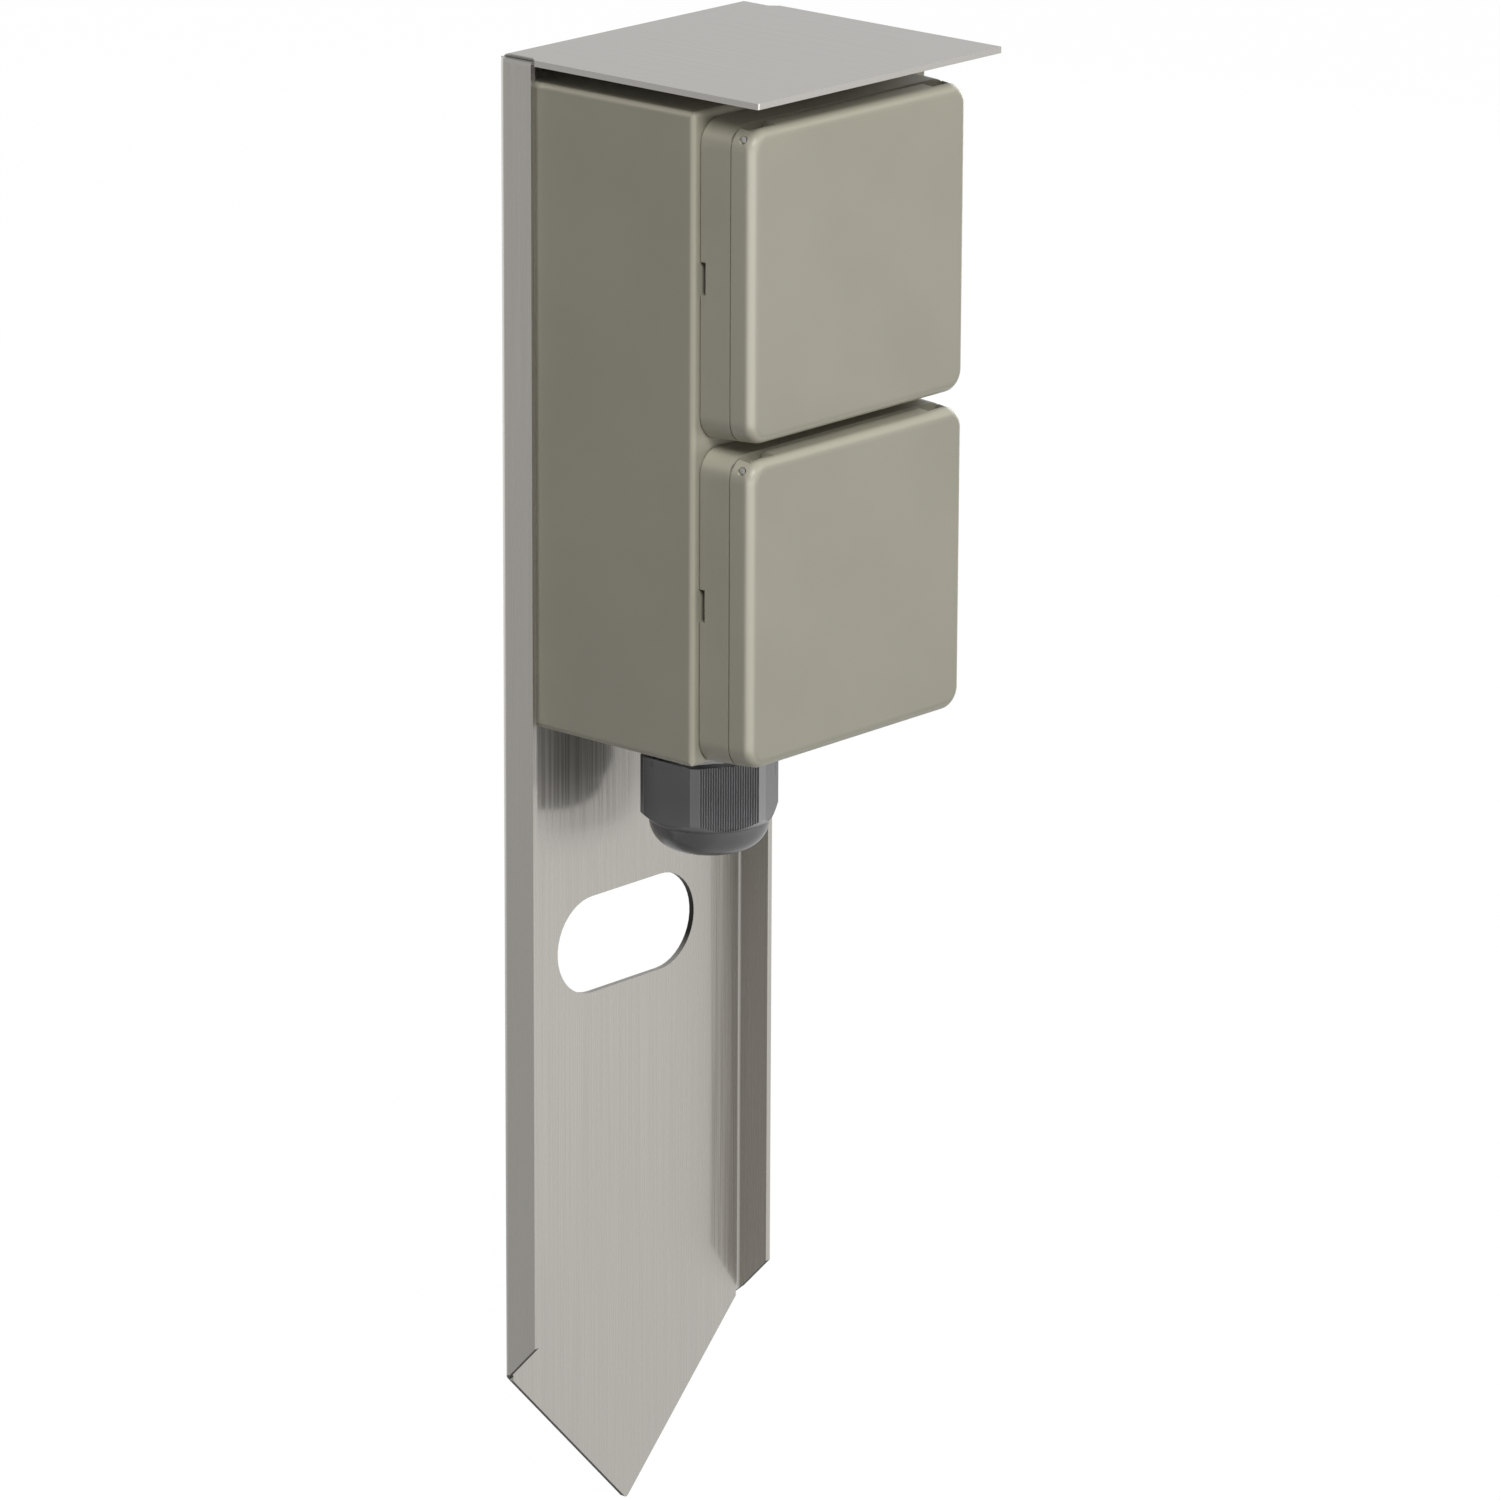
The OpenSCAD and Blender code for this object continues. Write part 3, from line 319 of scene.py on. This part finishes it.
def white_to_camera(look, diffuse, shadow_share):
    """White where the camera or a mirror sees it, with a share of the lit surface left in."""
    camera, mirror, clear = look.rays()
    seen = camera + mirror + clear
    x, y = look.place()[:2]
    reach = (x ** 2.0 + y ** 2.0) ** 0.5
    dim = look.ramp((0 - x) / reach, 0.4, 0.75) * (0.3 - look.ramp(reach, 0.4, 1.2) * 0.14)
    glow = look.add("ShaderNodeEmission", {}, {0: [1.0, 1.0, 1.0, 1.0], 1: 1.12 - mirror * (dim + 0.12)})
    share = seen.maths("MINIMUM", seen, 1.0) * (1 - shadow_share)
    return look.add("ShaderNodeMixShader", {}, {0: share, 1: diffuse, 2: glow.outputs[0]})


def studio_floor():
    shape = bmesh.new()
    bmesh.ops.create_grid(shape, x_segments=1, y_segments=1, size=6.0)
    mesh = bpy.data.meshes.new("studio_floor")
    shape.to_mesh(mesh)
    shape.free()
    floor = bpy.data.objects.new("studio_floor", mesh)
    scene.collection.objects.link(floor)
    look = Look("studio_floor")
    paint = look.add("ShaderNodeBsdfDiffuse", {}, {0: [0.28, 0.28, 0.28, 1.0]})
    mixed = white_to_camera(look, paint.outputs[0], 0.12)
    look.add("ShaderNodeOutputMaterial", {}, {0: mixed.outputs[0]})
    mesh.materials.append(look.material)


def studio_world():
    world = bpy.data.worlds.new("studio")
    scene.world = world
    look = Look("studio", world)
    spot = look.add("ShaderNodeTexCoord", {}, {})
    parts = look.add("ShaderNodeSeparateXYZ", {}, {0: spot.outputs["Generated"]})
    x, y, z = (Value(look, out) for out in parts.outputs)
    camera, mirror, clear = look.rays()
    reflected = 1.0 - look.ramp(y * 0.6 - x * 0.8, 0.0, 0.9) * 0.35 - look.ramp(y, 0.1, 0.8) * 0.2
    ambient = 0.03 + look.ramp(z, -0.2, 0.8) * 0.08
    strength = ambient + mirror * (reflected - ambient)
    strength = strength + clear * (1 - strength)
    strength = strength + camera * (1 - strength)
    back = look.add("ShaderNodeBackground", {}, {0: [1.0, 1.0, 1.0, 1.0], 1: strength})
    look.add("ShaderNodeOutputWorld", {}, {0: back.outputs[0]})


def soft_lamp(name, place, target, size, power):
    data = bpy.data.lights.new(name, "AREA")
    data.shape = "RECTANGLE"
    data.size, data.size_y = size
    data.energy = power
    lamp = bpy.data.objects.new(name, data)
    lamp.location = place
    lamp.rotation_euler = (Vector(place) - Vector(target)).to_track_quat("Z", "Y").to_euler()
    scene.collection.objects.link(lamp)
    return lamp


def only_on(lamp, names, diffuse=True):
    """Keep a lamp's light to a few pieces, and to their gloss alone where diffuse is off."""
    lit = bpy.data.collections.new(lamp.name + "_pieces")
    for name in names:
        lit.objects.link(nodes[name])
    lamp.light_linking.receiver_collection = lit
    lamp.visible_diffuse = diffuse


studio_floor()
studio_world()
box_middle, post_middle, lids_middle = (0, 0, 0.25), (0, 0, 0.2), (0, 0, 0.3)
gland_middle = (0, -0.03, 0.19)
soft_lamp("key_lamp", (-0.886, -1.364, 1.55), box_middle, size=(0.8, 0.8), power=27.8)
soft_lamp("left_lamp", (-1.3, 0.1, 0.6), box_middle, size=(0.5, 0.5), power=0.6)
soft_lamp("right_lamp", (0.9, -1.6, 1.3), box_middle, size=(1.0, 1.0), power=4)
soft_lamp("fill_lamp", (0.55, -1.4, 0.12), post_middle, size=(0.6, 0.5), power=6)
soft_lamp("rim_lamp", (1.5, 0.35, 0.5), post_middle, size=(0.6, 0.9), power=7)

# Reflectors for the gland, which hangs in the box's shade
gland_pieces = ("gland_body", "gland_nut", "gland_seal")
only_on(soft_lamp("gland_lamp", (0.48, -1.05, 0.28), gland_middle, size=(0.3, 0.2), power=15.5),
        gland_pieces)
only_on(soft_lamp("gland_left_lamp", (-0.28, -1.05, 0.27), gland_middle, size=(0.2, 0.2), power=3.1),
        gland_pieces)
only_on(soft_lamp("gland_back_lamp", (-1.0, 0.42, 0.24), gland_middle, size=(0.12, 0.15), power=6),
        gland_pieces)

# A low reflector that shows only in the gloss of the lids, as soft lines on their edges
only_on(soft_lamp("lid_edge_lamp", (-0.72, -0.64, 0.16), lids_middle, size=(1.6, 0.3), power=9),
        ("upper_frame", "lower_frame", "upper_lid", "lower_lid"), diffuse=False)
